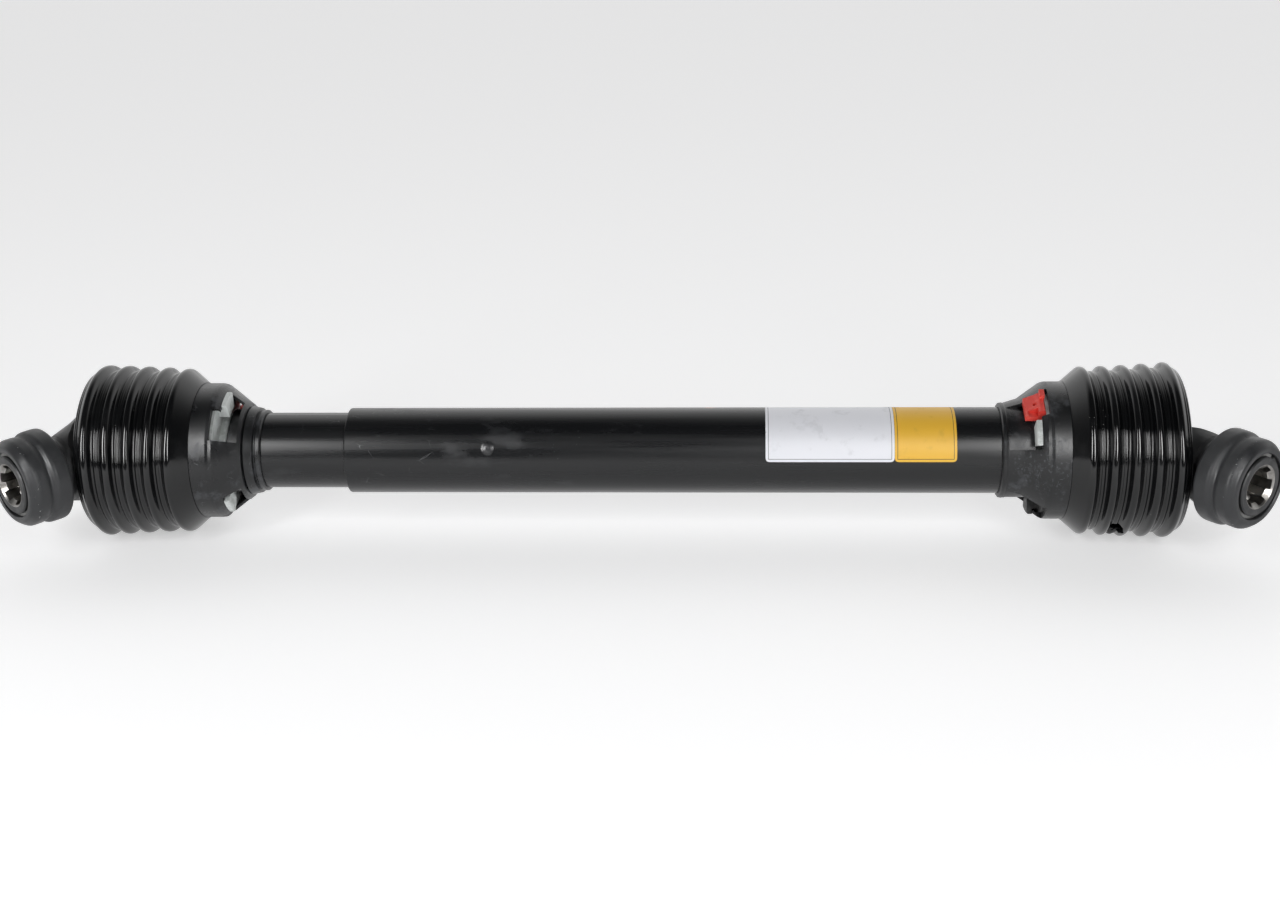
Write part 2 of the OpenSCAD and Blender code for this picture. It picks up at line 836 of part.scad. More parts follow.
module bore() {
    back = crotch - 4;
    front = yoke_reach + 1;
    rotate([0, 90, 0])
        cylinder(r = spline_minor_r, h = front, $fn = turn_fn);
    intersection() {
        turned([[0, back], [spline_major_r, back], [spline_major_r, front], [0, front]]);
        union() {
            for (i = [0:spline_count - 1])
                rotate([30 + 360 * i / spline_count, 0, 0])
                    translate([0, -spline_slot / 2, 0])
                        cube([front, spline_slot, 2 * spline_major_r]);
        }
    }
    mouth = spline_major_r + 1.3;
    turned([[0, yoke_reach - 4], [spline_minor_r, yoke_reach - 4], [mouth, yoke_reach], [mouth, front],
        [0, front]]);
}
module right_end_yoke() {
    color(black_satin)
        at_end(1)
            at_yoke()
                end_yoke();
}
module left_end_yoke() {
    color(black_satin)
        at_end(-1)
            at_yoke()
                end_yoke();
}

// Collar: two rounded bands outside, a spring chamber, a land over the balls and a pocket inside
module collar() {
    f = collar_front;
    inside = [[mouth_r, f - 0.5], [mouth_r, snap_x - 0.2], [land_r, snap_x - 0.2],
        [land_r, ball_x + 10.4], [pocket_r, ball_x + 9.4], [pocket_r, ball_x + 0.4],
        [ball_land_r, ball_x - 1.4], [ball_land_r, chamber_end], [chamber_r, chamber_end]];
    turned(concat(collar_outside(), inside));
}
module right_lock_collar() {
    color(black_satin)
        at_end(1)
            at_yoke()
                collar();
}
module left_lock_collar() {
    color(black_satin)
        at_end(-1)
            at_yoke()
                collar();
}
module collar_washer() {
    ring(chamber_r - 0.35, hub_r + fit, washer_x, washer_x + washer_t);
}
module right_collar_washer() {
    color(steel)
        at_end(1)
            at_yoke()
                collar_washer();
}
module left_collar_washer() {
    color(steel)
        at_end(-1)
            at_yoke()
                collar_washer();
}
module collar_ring() {
    difference() {
        ring(hub_r + 2.7, hub_r - 1.35, snap_x + 0.05, snap_x + 0.05 + snap_t);
        translate([snap_x - 1, 0, -2.5])
            cube([snap_t + 3, hub_r + 5, 5]);
    }
}
module right_collar_ring() {
    color(steel)
        at_end(1)
            at_yoke()
                collar_ring();
}
module left_collar_ring() {
    color(steel)
        at_end(-1)
            at_yoke()
                collar_ring();
}

// Spring: a swept coil between the washer and the collar's step
coil_r = (hub_r + chamber_r) / 2;
coil_steps = 24;
coil_sides = 8;
module coil() {
    x0 = washer_x + washer_t + wire_d / 2 + 0.1;
    x1 = chamber_end - wire_d / 2 - 0.1;
    n = spring_turns * coil_steps;
    pts = [for (i = [0:n]) for (j = [0:coil_sides - 1])
        let(a = 360 * i / coil_steps, b = 360 * j / coil_sides, r = coil_r + wire_d / 2 * cos(b))
        [x0 + (x1 - x0) * i / n + wire_d / 2 * sin(b), r * cos(a), r * sin(a)]];
    sides = [for (i = [0:n - 1]) for (j = [0:coil_sides - 1])
        let(k = i * coil_sides, m = (j + 1) % coil_sides)
        [k + j, k + coil_sides + j, k + coil_sides + m, k + m]];
    first = [for (j = [0:coil_sides - 1]) j];
    last = [for (j = [coil_sides - 1:-1:0]) n * coil_sides + j];
    polyhedron(points = pts, faces = concat([first], sides, [last]), convexity = 6);
}
module right_collar_spring() {
    color(steel)
        at_end(1)
            at_yoke()
                coil();
}
module left_collar_spring() {
    color(steel)
        at_end(-1)
            at_yoke()
                coil();
}

// Locking balls, one module with the end and the ball's number
module lock_ball(end, i) {
    color(steel)
        at_end(end)
            at_yoke()
                rotate([ball_turn(i), 0, 0])
                    translate([ball_x, 0, ball_seat])
                        sphere(r = ball_r, $fn = hole_fn);
}

// Labels: bare plates wrapped over the top and the front of the outer guard tube
label_low = 6;
label_high = 132;
module label(x0, length) {
    r = outer_guard_r + 0.02;
    at_tube(1)
        intersection() {
            ring(r + label_t, r, x0, x0 + length);
            sector(label_low, label_high, 2 * outer_guard_r, x0, x0 + length);
        }
}
yellow_label_x = joint_reach - sleeve_end - label_gap - yellow_label_len;
white_label_x = yellow_label_x - 0.2 - white_label_len;
module white_label() {
    color([0.86, 0.87, 0.9])
        label(white_label_x, white_label_len);
}
module yellow_label() {
    color([0.98, 0.7, 0.05])
        label(yellow_label_x, yellow_label_len);
}

outer_guard_tube();
right_guard_base();
right_guard_bell();
right_guard_bearing();
white_label();
yellow_label();
inner_guard_tube();
left_guard_base();
left_neck_ring();
left_guard_bell();
left_guard_bearing();
right_release_latch();
left_release_latch();
outer_drive_tube();
right_inner_yoke();
right_tube_pin();
inner_drive_tube();
left_inner_yoke();
left_tube_pin();
right_cross();
right_grease_fitting();
right_seals();
right_inner_cups();
right_inner_rings();
right_outer_cups();
right_outer_rings();
right_end_yoke();
right_collar_washer();
right_collar_ring();
right_lock_collar();
right_collar_spring();
lock_ball(1, 0);  // right_ball_1
lock_ball(1, 1);  // right_ball_2
lock_ball(1, 2);  // right_ball_3
left_cross();
left_grease_fitting();
left_seals();
left_inner_cups();
left_inner_rings();
left_outer_cups();
left_outer_rings();
left_end_yoke();
left_collar_washer();
left_collar_ring();
left_lock_collar();
left_collar_spring();
lock_ball(-1, 0);  // left_ball_1
lock_ball(-1, 1);  // left_ball_2
lock_ball(-1, 2);  // left_ball_3
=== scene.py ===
"""Looks of the power take-off shaft: materials, soft bells, labels, studio and camera."""
import json
import math

import bmesh
import bpy
from mathutils import Matrix, Vector


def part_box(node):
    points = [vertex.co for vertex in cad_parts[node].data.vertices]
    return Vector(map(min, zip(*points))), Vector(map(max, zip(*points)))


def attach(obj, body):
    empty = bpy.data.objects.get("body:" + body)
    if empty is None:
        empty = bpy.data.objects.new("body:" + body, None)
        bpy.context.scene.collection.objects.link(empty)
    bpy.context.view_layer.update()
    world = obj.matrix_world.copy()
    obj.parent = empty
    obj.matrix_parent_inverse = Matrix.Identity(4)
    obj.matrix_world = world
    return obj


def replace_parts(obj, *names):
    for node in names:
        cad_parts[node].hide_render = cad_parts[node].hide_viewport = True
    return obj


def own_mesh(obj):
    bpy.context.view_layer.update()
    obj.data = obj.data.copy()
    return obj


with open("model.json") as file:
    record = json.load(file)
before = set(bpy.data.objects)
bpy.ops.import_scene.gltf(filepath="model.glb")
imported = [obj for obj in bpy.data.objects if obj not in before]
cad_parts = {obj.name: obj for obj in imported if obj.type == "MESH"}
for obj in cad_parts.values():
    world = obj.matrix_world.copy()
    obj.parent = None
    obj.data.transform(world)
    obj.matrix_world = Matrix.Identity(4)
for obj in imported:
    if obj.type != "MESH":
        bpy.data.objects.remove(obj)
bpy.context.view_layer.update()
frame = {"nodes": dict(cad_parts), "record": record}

# Sizes of the part's source that the dressed pieces share, in millimetres
MM = 0.001
JOINT_REACH = 450
BEND = math.radians(49.5)
BELL_SEAT = 79
FLANGE_R = 59
SPIGOT_R = FLANGE_R - 3
SPIGOT_W = 14
BELL_R = 75
RIB_PITCH = 17.6
RIB_STEP = 0.8
RIB_DEPTH = 5.6
CREST_W = 4.4
CREST_DROP = 0.5
CREST_X = 7
FLANK_W = 3.4
BEAD_H = 1
RIB_COUNT = 5
BELL_WALL = 2.3
LIP_STEP = 7.6
LIP_X = CREST_X + CREST_W / 2 + LIP_STEP
LIP_R = BELL_R - LIP_STEP
TUBE_R = 37
LABEL_T = 0.2
LABEL_X = 118.4
LABEL_GAP = 0.2
WHITE_LEN = 108.5
YELLOW_LEN = 52
LABEL_LOW = math.radians(6)
LABEL_HIGH = math.radians(132)
YOKE_REACH = 106
BORE_R = 19
LAND_R = 15.1

# The scene's own forms, in millimetres: the tear and its flap, the skin's waves, and the labels' film
TEAR_TURN = math.radians(-51)
TEAR_X = -36
TEAR_OUTLINE = ((-6, -5), (-4.4, -7.6), (-1.6, -9.6), (1.4, -7.4), (4.6, -7), (5.4, -2), (6.8, 1.6),
                (4.6, 5.4), (4, 10), (0.4, 8.4), (-2.6, 10.6), (-3.6, 6), (-5.4, 3), (-4.8, -1))
TEAR_REACH = (58, 80)
SKIN_R = 70
FLAP_HALF_W = 4.6
FLAP_LEN = 8.5
FLAP_START = 8.6
FLAP_R = 67.6
FLAP_LIFT = 4.4
FLAP_T = 1.3
BELL_SEGMENTS = 200
FIRM_LEN = 8
SOFTEN_LEN = 30
FILM_CORNER = 3.2
FILM_LIFT = 0.06
FILM_MESH = 1.6
FRAME_INSET = 2.4

# Marks on the surfaces, two of them with a painted highlight, in millimetres: places along the shaft, turns up
# from the front, and sizes
DENT_X, DENT_TURN, DENT_R = -118, math.radians(24), 6.5
PAINT_TURN, PAINT_R = math.radians(112), 9
PAINT_SPOTS = ((70, (0.42, 0.13, 0.03)), (18.7, (0.09, 0.07, 0.05)))
SHEEN_SCUFF_X, SHEEN_SCUFF_TURN, SHEEN_SCUFF_R, SHEEN_SCUFF_REACH = 350, math.radians(10), 52, 34
BLACK_DROP = 12

# In metres: where the left end's scratches start, are full and end along the shaft, and a height below the part
LEFT_SCRATCHES = (-0.31, -0.24, -0.2, -0.13)
NO_BLACK_BELOW = -1.0

# Camera, in metres, and studio: floor, and for each soft box its name, place, size in metres and power
VIEW_YAW = math.radians(3.2)
VIEW_PITCH = math.radians(22)
VIEW_DISTANCE = 1.546
VIEW_X = 0.010
FLOOR_SIZE = 40
BOXES = (("box_right", (0.95, -1.7, 1.0), (0.3, 1.55), 14),
         ("box_left", (-1.2, -1.6, 1.0), (0.34, 1.55), 16))
BOX_AIM = Vector((0, 0, 0.07))
CARD_SIZE = (0.75, 1.6, 1)
CARD_GLOW = 11.0

tube_low, tube_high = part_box("outer_guard_tube")
AXIS_Y = (tube_low[1] + tube_high[1]) / 2
AXIS_Z = (tube_low[2] + tube_high[2]) / 2


def around(x, turn, r):
    """A point at angle turn, measured up from the front, r out from the shaft's axis; all in millimetres."""
    return Vector((x * MM, AXIS_Y - r * MM * math.cos(turn), AXIS_Z + r * MM * math.sin(turn)))


def add_piece(name, mesh, body, material, smooth_angle=40):
    """Puts a mesh in the scene as a piece that rides on a body."""
    piece = bpy.data.objects.new(name, mesh)
    bpy.context.scene.collection.objects.link(piece)
    mesh.materials.append(material)
    mesh.shade_smooth()
    mesh.set_sharp_from_angle(angle=math.radians(smooth_angle))
    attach(piece, body)
    return piece


# Materials: one small graph builder, then one function for each finish

class Finish:
    """A Principled material, with short ways to add the textures that vary it."""

    def __init__(self, name, color, roughness, metallic=0.0, **fixed):
        self.material = bpy.data.materials.new(name)
        self.material.use_nodes = True
        tree = self.material.node_tree
        self.nodes, self.links = tree.nodes, tree.links
        self.shader = self.nodes["Principled BSDF"]
        self.shader.inputs["Base Color"].default_value = (*color, 1)
        self.shader.inputs["Roughness"].default_value = roughness
        self.shader.inputs["Metallic"].default_value = metallic
        for socket, value in fixed.items():
            self.shader.inputs[socket.replace("_", " ")].default_value = value
        self.place = self.add("ShaderNodeTexCoord").outputs["Object"]

    def add(self, kind, inputs=(), **settings):
        node = self.nodes.new(kind)
        for key, value in settings.items():
            setattr(node, key, value)
        for socket, value in dict(inputs).items():
            self.feed(node.inputs[socket], value)
        return node

    def feed(self, socket, value):
        if isinstance(value, bpy.types.NodeSocket):
            self.links.new(value, socket)
        else:
            socket.default_value = value

    def scaled(self, stretch):
        return self.add("ShaderNodeMapping", {0: self.place, 3: stretch}).outputs[0]

    def noise(self, scale, detail=3.0, stretch=(1, 1, 1), rough=0.55):
        return self.add("ShaderNodeTexNoise", {"Vector": self.scaled(stretch), "Scale": scale,
                                               "Detail": detail, "Roughness": rough}).outputs[0]

    def cells(self, scale, stretch=(1, 1, 1), feature="F1"):
        return self.add("ShaderNodeTexVoronoi", {"Vector": self.scaled(stretch), "Scale": scale},
                        feature=feature).outputs["Distance"]

    def calc(self, operation, a, b=0.0):
        return self.add("ShaderNodeMath", {0: a, 1: b}, operation=operation).outputs[0]

    def fade(self, value, start, end, low=0.0, high=1.0):
        """Goes from low to high while value goes from start to end."""
        return self.add("ShaderNodeMapRange", {0: value, 1: start, 2: end, 3: low, 4: high},
                        interpolation_type="SMOOTHSTEP").outputs[0]

    def times(self, *values):
        product = values[0]
        for value in values[1:]:
            product = self.calc("MULTIPLY", product, value)
        return product

    def along(self, axis):
        return self.add("ShaderNodeSeparateXYZ", {0: self.place}).outputs["XYZ".index(axis)]

    def near(self, centre, reach, soft=0.5):
        """1 within reach of a point, in metres, and 0 beyond."""
        gap = self.add("ShaderNodeVectorMath", {0: self.place, 1: centre}, operation="DISTANCE").outputs["Value"]
        return self.fade(gap, reach, reach * soft)

    def radius(self, point, axis):
        """Distance from the line through point along axis."""
        arm = self.add("ShaderNodeVectorMath", {0: self.place, 1: point}, operation="SUBTRACT").outputs[0]
        side = self.add("ShaderNodeVectorMath", {0: arm, 1: axis}, operation="CROSS_PRODUCT").outputs[0]
        return self.add("ShaderNodeVectorMath", {0: side}, operation="LENGTH").outputs["Value"]

    def tint(self, mask, color):
        """Blends the base colour towards color where mask is 1."""
        base = self.shader.inputs["Base Color"]
        mix = self.add("ShaderNodeMix", {0: mask, 7: (*color, 1)}, data_type="RGBA")
        if base.is_linked:
            self.links.new(base.links[0].from_socket, mix.inputs[6])
        else:
            mix.inputs[6].default_value = base.default_value
        self.links.new(mix.outputs[2], base)

    def blend(self, socket, mask, value):
        """Blends a number socket of the shader towards value where mask is 1."""
        target = self.shader.inputs[socket]
        mix = self.add("ShaderNodeMix", {0: mask, 3: value}, data_type="FLOAT")
        if target.is_linked:
            self.links.new(target.links[0].from_socket, mix.inputs[2])
        else:
            mix.inputs[2].default_value = target.default_value
        self.links.new(mix.outputs[0], target)

    def bump(self, height, distance, strength=1.0):
        """Adds relief of the given depth in metres to what is there."""
        normal = self.shader.inputs["Normal"]
        relief = self.add("ShaderNodeBump", {"Height": height, "Distance": distance, "Strength": strength})
        if normal.is_linked:
            self.links.new(normal.links[0].from_socket, relief.inputs["Normal"])
        self.links.new(relief.outputs[0], normal)

    def scratches(self, scale, thin, stretch, cover):
        """Thin broken lines: the edges of stretched cells, kept where a noise is above cover."""
        lines = self.fade(self.cells(scale, stretch, "DISTANCE_TO_EDGE"), thin, 0.0)
        kept = self.fade(self.noise(scale * 0.6, 2.0), cover, cover + 0.06)
        return self.times(lines, kept)


def tube_finish():
    """Extruded black tube: fine streaks along it, scuffs, scratches at its left end, and a dent with a painted
    highlight on it.
    """
    look = Finish("tube_black", (0.005, 0.0055, 0.0065), 0.24)
    streaks = look.noise(9.0, 4.0, stretch=(0.35, 9, 9))
    look.blend("Roughness", look.fade(streaks, 0.35, 0.75), 0.36)
    look.bump(streaks, 0.00006)
    scuffs = look.times(look.fade(look.noise(14.0, 5.0, stretch=(1, 2.4, 2.4)), 0.6, 0.72), 0.22)
    look.tint(scuffs, (0.07, 0.073, 0.078))
    look.blend("Roughness", scuffs, 0.75)
    far, full_from, full_to, clean = LEFT_SCRATCHES
    left_end = look.times(look.fade(look.along("X"), clean, full_to), look.fade(look.along("X"), far, full_from))
    marks = look.times(look.scratches(95.0, 0.012, (0.8, 1.7, 1.1), 0.58), left_end)
    look.tint(look.times(marks, 0.8), (0.2, 0.205, 0.21))
    specks = look.times(look.fade(look.cells(230.0), 0.13, 0.06),
                        look.fade(look.noise(16.0), 0.6, 0.68), look.fade(left_end, 0.0, 1.0, 0.25, 1.0))
    look.tint(specks, (0.34, 0.35, 0.36))
    dent_and_highlight = look.near(around(DENT_X, DENT_TURN, TUBE_R), DENT_R * MM, 0.2)
    look.bump(dent_and_highlight, 0.0009)
    # Painted highlight: the tube is paled over the dent, on top of its real bump.
    look.tint(look.times(dent_and_highlight, 0.25), (0.2, 0.2, 0.21))
    paint = look.fade(look.noise(120.0), 0.42, 0.5)
    for x, color in PAINT_SPOTS:
        spot = look.near(around(x, PAINT_TURN, TUBE_R), PAINT_R * MM, 0.6)
        look.tint(look.times(spot, paint), color)
    return look.material


def moulded_finish():
    """Injection-moulded black base: glossy, with hazy scuffs and fine lines near its windows, and below the right
    window scuffs paled by a painted highlight.
    """
    look = Finish("moulded_black", (0.0065, 0.007, 0.008), 0.27)
    grain = look.noise(420.0, 2.0)
    look.bump(grain, 0.00004)
    flow = look.noise(26.0, 4.0)
    look.blend("Roughness", look.fade(flow, 0.4, 0.7), 0.42)
    haze = look.times(look.fade(look.noise(46.0, 6.0, rough=0.7), 0.52, 0.66), 0.4)
    look.tint(haze, (0.085, 0.09, 0.1))
    look.blend("Roughness", haze, 0.7)
    marks = look.scratches(170.0, 0.012, (1, 1, 0.5), 0.62)
    look.tint(look.times(marks, 0.7), (0.2, 0.21, 0.22))
    # Scuffed patch below the right base window: its rougher surface is real wear, and its pale bluish tint is a
    # painted highlight.
    sheen_scuff_area = look.near(around(SHEEN_SCUFF_X, SHEEN_SCUFF_TURN, SHEEN_SCUFF_R), SHEEN_SCUFF_REACH * MM)
    scuffs_and_sheen = look.times(sheen_scuff_area, look.fade(look.noise(330.0, 6.0, rough=0.75), 0.54, 0.68))
    look.tint(look.times(scuffs_and_sheen, 0.5), (0.12, 0.13, 0.145))
    look.blend("Roughness", scuffs_and_sheen, 0.62)
    return look.material


def bell_finish():
    """Soft glossy bell: slight ripples in the skin, dust in specks, and a paler bloom in places."""
    look = Finish("bell_black", (0.003, 0.0033, 0.0038), 0.1)
    look.bump(look.noise(34.0, 3.0), 0.00004)
    look.bump(look.noise(520.0, 2.0), 0.00001)
    look.blend("Roughness", look.fade(look.noise(60.0, 4.0), 0.45, 0.7), 0.2)
    bloom = look.times(look.fade(look.noise(11.0, 5.0), 0.5, 0.7), 0.35)
    look.tint(bloom, (0.03, 0.032, 0.034))
    dust = look.times(look.fade(look.cells(320.0), 0.1, 0.05), look.fade(look.noise(30.0), 0.58, 0.66))
    look.tint(dust, (0.35, 0.35, 0.34))
    return look.material


def nylon_finish(name, black_below):
    """Off-white nylon with grease and black grime in it, and all black below a height in metres."""
    look = Finish(name, (0.62, 0.65, 0.64), 0.45)
    grime = look.fade(look.noise(90.0, 5.0), 0.46, 0.64)
    look.tint(look.times(grime, 0.6), (0.3, 0.32, 0.3))
    look.blend("Roughness", grime, 0.6)
    # Darker towards the bottom: black below the given height, along a wavy edge.
    black = look.fade(look.calc("ADD", look.along("Z"), look.times(look.noise(150.0, 4.0), 0.006)),
                      black_below + 0.005, black_below)
    look.tint(black, (0.012, 0.012, 0.012))
    look.bump(look.noise(500.0, 2.0), 0.00005)
    return look.material


def red_finish():
    """Red moulded key, scuffed paler along with dark rub marks."""
    look = Finish("latch_red", (0.72, 0.055, 0.04), 0.38)
    look.tint(look.times(look.fade(look.noise(150.0, 4.0), 0.5, 0.66), 0.5), (0.85, 0.13, 0.1))
    look.tint(look.times(look.scratches(240.0, 0.03, (1, 1, 1), 0.6), 0.7), (0.12, 0.02, 0.02))
    look.blend("Roughness", look.fade(look.noise(80.0), 0.4, 0.6), 0.5)
    look.bump(look.noise(700.0, 2.0), 0.00003)
    return look.material


def steel_finish(name, color, roughness, stretch=(1, 1, 1)):
    """Bare steel with tool marks, oil film and a few darker spots."""
    look = Finish(name, color, roughness, metallic=1.0)
    marks = look.noise(700.0, 3.0, stretch=stretch)
    look.bump(marks, 0.00004)
    film = look.fade(look.noise(50.0, 4.0), 0.42, 0.62)
    look.tint(look.times(film, 0.55), tuple(value * 0.55 for value in color))
    look.blend("Roughness", film, min(roughness + 0.16, 1.0))
    look.tint(look.fade(look.cells(260.0), 0.12, 0.05, 0.0, 0.6), (0.08, 0.07, 0.06))
    return look.material


def rubber_finish():
    """Dull black seal with dust in its grain."""
    look = Finish("seal_rubber", (0.012, 0.012, 0.012), 0.62)
    look.bump(look.noise(800.0, 2.0), 0.00005)
    look.tint(look.times(look.fade(look.noise(120.0, 4.0), 0.5, 0.7), 0.5), (0.04, 0.038, 0.034))
    return look.material


def brass_finish():
    """Plated grease fitting, browned in spots."""
    look = Finish("fitting_plated", (0.62, 0.5, 0.27), 0.3, metallic=1.0)
    look.tint(look.fade(look.noise(260.0, 4.0), 0.45, 0.65, 0.0, 0.7), (0.3, 0.22, 0.12))
    look.bump(look.noise(600.0, 2.0), 0.00003)
    return look.material


def yoke_line(side):
    """The joint's centre and the end yoke's direction, in the scene."""
    centre = Vector((side * JOINT_REACH * MM, AXIS_Y, AXIS_Z))
    return centre, Vector((side * math.cos(BEND), -math.sin(BEND), 0))


def painted_finish(side):
    """Satin black paint on forged steel; the splined bore is bare, bright on its lands."""
    look = Finish(f"yoke_paint_{side}", (0.014, 0.0145, 0.0155), 0.38)
    look.bump(look.noise(180.0, 5.0), 0.00022)
    look.blend("Roughness", look.fade(look.noise(55.0, 3.0), 0.4, 0.65), 0.56)
    chips = look.fade(look.noise(95.0, 5.0, rough=0.7), 0.68, 0.71)
    look.tint(chips, (0.16, 0.155, 0.15))
    if side:
        centre, line = yoke_line(side)
        out = look.radius(centre, line)
        bare = look.fade(out, (BORE_R + 0.2) * MM, (BORE_R - 0.2) * MM)
        look.tint(bare, (0.34, 0.33, 0.315))
        look.blend("Metallic", bare, 1.0)
        land = look.fade(out, (LAND_R + 0.1) * MM, (LAND_R - 0.1) * MM)
        look.tint(land, (0.8, 0.78, 0.74))
        look.blend("Roughness", bare, 0.3)
        oil = look.times(bare, look.fade(look.noise(70.0, 4.0), 0.45, 0.6))
        look.tint(look.times(oil, 0.6), (0.13, 0.12, 0.11))
    return look.material


def collar_finish(side):
    """Dark grey moulded collar: fine grain, handling marks, and bright nicks along the front edge."""
    look = Finish(f"collar_dark_{side}", (0.02, 0.021, 0.023), 0.36)
    look.bump(look.noise(900.0, 2.0), 0.00005)
    look.bump(look.noise(24.0, 2.0), 0.0003)
    look.blend("Roughness", look.fade(look.noise(40.0, 4.0), 0.4, 0.66), 0.56)
    marks = look.scratches(160.0, 0.012, (1, 1, 0.6), 0.64)
    look.tint(look.times(marks, 0.6), (0.12, 0.12, 0.125))
    centre, line = yoke_line(side)
    front = centre + line * (YOKE_REACH - 9) * MM
    drop = look.add("ShaderNodeVectorMath", {0: look.place, 1: front}, operation="SUBTRACT").outputs[0]
    depth = look.add("ShaderNodeVectorMath", {0: drop, 1: line}, operation="DOT_PRODUCT").outputs["Value"]
    band = look.times(look.fade(depth, 0.0, 0.0015), look.fade(depth, 0.0045, 0.003))
    nicks = look.times(band, look.fade(look.noise(420.0, 3.0), 0.66, 0.7))
    look.tint(nicks, (0.34, 0.34, 0.34))
    return look.material


def label_finish(name, color, half_w, half_h, line):
    """Printed film: a thin frame line inset from the edge and small darker smudges."""
    look = Finish(name, color, 0.42)
    flat = look.add("ShaderNodeSeparateXYZ", {0: look.add("ShaderNodeUVMap").outputs[0]}).outputs
    sides = [look.calc("SUBTRACT", look.calc("ABSOLUTE", flat[i]), half - FRAME_INSET * MM)
             for i, half in enumerate((half_w, half_h))]
    edge = look.calc("ABSOLUTE", look.calc("MAXIMUM", *sides))
    look.tint(look.fade(edge, 0.0003, 0.0002), line)
    smudge = look.fade(look.noise(70.0, 5.0), 0.56, 0.7)
    look.tint(look.times(smudge, 0.22), tuple(value * 0.55 for value in color))
    look.blend("Roughness", smudge, 0.58)
    look.bump(look.noise(60.0, 2.0), 0.00005)
    return look.material


# Meshes

def finished(mesh, name, thickness=0.0):
    """Turns a bmesh into a mesh with outward faces, thickened where a thickness in metres is given."""
    bmesh.ops.recalc_face_normals(mesh, faces=mesh.faces)
    if thickness:
        bmesh.ops.solidify(mesh, geom=mesh.faces[:], thickness=thickness)
    data = bpy.data.meshes.new(name)
    mesh.to_mesh(data)
    mesh.free()
    return data


def quads(mesh, rows):
    """Joins a grid of vertices by quads and gives them."""
    return [mesh.faces.new((a[j], a[j + 1], b[j + 1], b[j]))
            for a, b in zip(rows, rows[1:]) for j in range(len(a) - 1)]


# Bells: the source's rib rule with softer corners, slight waves, and the tear on the right one

def rounded(points, r, steps=6):
    """Replaces each inner corner by a short curve that starts r before it."""
    line = [Vector(points[0])]
    for a, p, b in zip(points, points[1:], points[2:]):
        a, p, b = Vector(a), Vector(p), Vector(b)
        start = p.lerp(a, min(r / (a - p).length, 0.48))
        end = p.lerp(b, min(r / (b - p).length, 0.48))
        line += [start.lerp(p, t).lerp(p.lerp(end, t), t) for t in (i / steps for i in range(steps + 1))]
    return line + [Vector(points[-1])]


def rib_line(wall):
    """Crests and valleys from the base to the mouth, as (radius, x); wall moves them inwards."""
    lean = wall * 0.56
    line = []
    for k in reversed(range(RIB_COUNT)):
        x, r = CREST_X - k * RIB_PITCH, BELL_R - k * RIB_STEP - wall
        half = CREST_W / 2 - lean
        line += [(r - CREST_DROP, x - half), (r, x), (r - CREST_DROP, x + half)]
        if k:
            x, r = x + RIB_PITCH / 2, r + RIB_STEP - RIB_DEPTH
            half = RIB_PITCH / 2 - CREST_W / 2 - FLANK_W + lean
            bead = [] if wall else [(r, x - 1.9), (r + BEAD_H, x - 0.7), (r + BEAD_H, x + 0.7), (r, x + 1.9)]
            line += [(r, x - half), *bead, (r, x + half)]
    return line


def bell_profile():
    """One bell's section, as (radius, x): out along the skin to the lip, and back inside to the spigot."""
    foot_x, foot_r = -BELL_SEAT + 0.5, FLANGE_R + 0.8
    neck_r, wall_in = SPIGOT_R + 0.06, BELL_WALL * 1.4
    lip = [(LIP_R + 4.2, LIP_X - 5.2), (LIP_R + 3.6, LIP_X - 4.4), (LIP_R + 3.3, LIP_X - 3.2),
           (LIP_R + 2.2, LIP_X - 2.6), (LIP_R + 1.9, LIP_X - 1.2), (LIP_R, LIP_X), (LIP_R - 1.9, LIP_X - 0.6)]
    outer = rounded([(neck_r, -BELL_SEAT), (foot_r, -BELL_SEAT), (foot_r + 0.3, foot_x), *rib_line(0), *lip], 2.0)
    inner = rounded([(LIP_R - 1.9, LIP_X - 1.2), *reversed(rib_line(BELL_WALL)), (foot_r + 0.6, foot_x + wall_in),
                     (neck_r + 2.4, foot_x + wall_in + 1.6), (neck_r + 2.4, SPIGOT_W - BELL_SEAT),
                     (neck_r, SPIGOT_W - BELL_SEAT)], 1.6)
    return outer + inner


def bell_mesh(name, side, phase):
    """Turns the profile, lets the soft skin wave a little, and flattens it where it meets the ground."""
    mesh = bmesh.new()
    section = bell_profile()
    loops = []
    for i in range(BELL_SEGMENTS):
        turn = 2 * math.pi * i / BELL_SEGMENTS
        loop = []
        for r, x in section:
            free = min(max((x + BELL_SEAT - FIRM_LEN) / SOFTEN_LEN, 0), 1)
            wave = 0.4 * math.sin(3 * turn + phase + 0.03 * x) + 0.22 * math.sin(7 * turn - phase + 0.06 * x)
            slide = 0.55 * math.sin(2 * turn + 2 * phase + 0.05 * x)
            point = around(side * (JOINT_REACH + x + free * slide), turn, r + free * wave)
            point.z = max(point.z, 0.0)
            loop.append(mesh.verts.new(point))
        loops.append(loop)
    quads(mesh, [loop + loop[:1] for loop in loops + loops[:1]])
    return finished(mesh, name)


def tear_cutter():
    """A ragged prism through the right bell's skin, between its third and fourth ribs."""
    mesh = bmesh.new()
    inner, outer = ([mesh.verts.new(around(JOINT_REACH + TEAR_X + x, TEAR_TURN - y / SKIN_R, r))
                     for x, y in TEAR_OUTLINE] for r in TEAR_REACH)
    mesh.faces.new(inner)
    mesh.faces.new(outer[::-1])
    quads(mesh, [outer + outer[:1], inner + inner[:1]])
    return finished(mesh, "tear_cutter")


